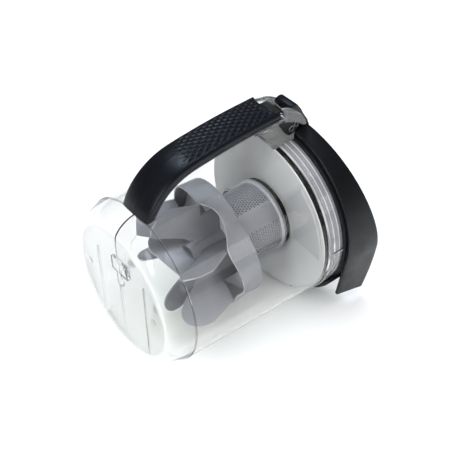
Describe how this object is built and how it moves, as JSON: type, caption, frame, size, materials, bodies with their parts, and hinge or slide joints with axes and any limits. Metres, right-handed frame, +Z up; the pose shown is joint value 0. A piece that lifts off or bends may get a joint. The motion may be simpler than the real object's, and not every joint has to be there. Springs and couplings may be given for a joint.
{
  "type": "vacuum cleaner dust bin",
  "caption": "Clear cyclone dust bin for a canister vacuum, lying on its side, with an arched handle, release button and pull-out hooded lid with its cyclone.",
  "frame": {"origin": "middle of the bin's box, on the surface that the bin lies on", "axes": "+X along the cup from its base to the lid (the cup's axis rises by 1.7 degrees), +Y to one side, +Z up, towards the handle"},
  "size_m": [0.2174, 0.1744, 0.1981],
  "materials": {
    "clear_plastic": "gloss",
    "smoky_plastic": "gloss",
    "grip_plastic": "satin",
    "black_plastic": "satin",
    "grey_plastic": "satin",
    "black_rubber": "matte",
    "filter_foam": "matte",
    "steel": "satin"
  },
  "bodies": {
    "cup": {"dust_cup": "clear_plastic", "handle_upper_shell": "grip_plastic", "handle_lower_shell": "black_plastic", "handle_front_screw": "steel", "handle_rear_screw": "steel", "latch_bracket": "clear_plastic", "latch_pivot_pin": "steel", "hook_stop_pin": "steel", "button_spring": "steel"},
    "button": {"release_button": "smoky_plastic", "button_plunger": "black_plastic"},
    "latch": {"latch_hook": "black_plastic"},
    "lid": {"lid_frame": "grey_plastic", "swirl_ramp": "grey_plastic", "lid_gasket": "black_rubber", "lid_ring": "black_plastic", "lid_hood": "black_plastic", "spine_block": "grip_plastic", "guide_tab_left": "black_plastic", "guide_tab_right": "black_plastic", "lid_back_cover": "black_plastic", "outlet_grille": "black_plastic", "filter_foam": "filter_foam", "inlet_duct": "grey_plastic", "inlet_seal": "black_rubber", "lid_screw_1": "steel", "lid_screw_2": "steel", "lid_screw_3": "steel", "lid_screw_4": "steel"},
    "cyclone": {"grille_cylinder": "grey_plastic", "lobed_skirt": "grey_plastic", "vane_star": "grey_plastic", "bayonet_collar": "grey_plastic", "cyclone_seal": "black_rubber"}
  },
  "joints": [
    {"name": "lid_pull", "type": "slide", "parent": "cup", "child": "lid", "axis": [0.9996, 0, 0.0297], "range_m": [0, 0.175]},
    {"name": "cyclone_twist", "type": "hinge", "parent": "lid", "child": "cyclone", "pos_m": [0.05003, 0, 0.07997], "axis": [0.9996, 0, 0.0297], "range_deg": [0, 50]},
    {"name": "button_press", "type": "slide", "parent": "cup", "child": "button", "axis": [0.0297, 0, -0.9996], "range_m": [0, 0.003], "stiffness_N_per_m": 900, "springref_m": -0.002, "deforming": ["button_spring"]},
    {"name": "hook_lift", "type": "hinge", "parent": "cup", "child": "latch", "pos_m": [0.07033, 0, 0.17441], "axis": [0, 1, 0], "range_deg": [-11, 0]}
  ],
  "couplings": [
    {"joint": "hook_lift", "follows": "button_press", "rad_per_m": -62.5}
  ]
}
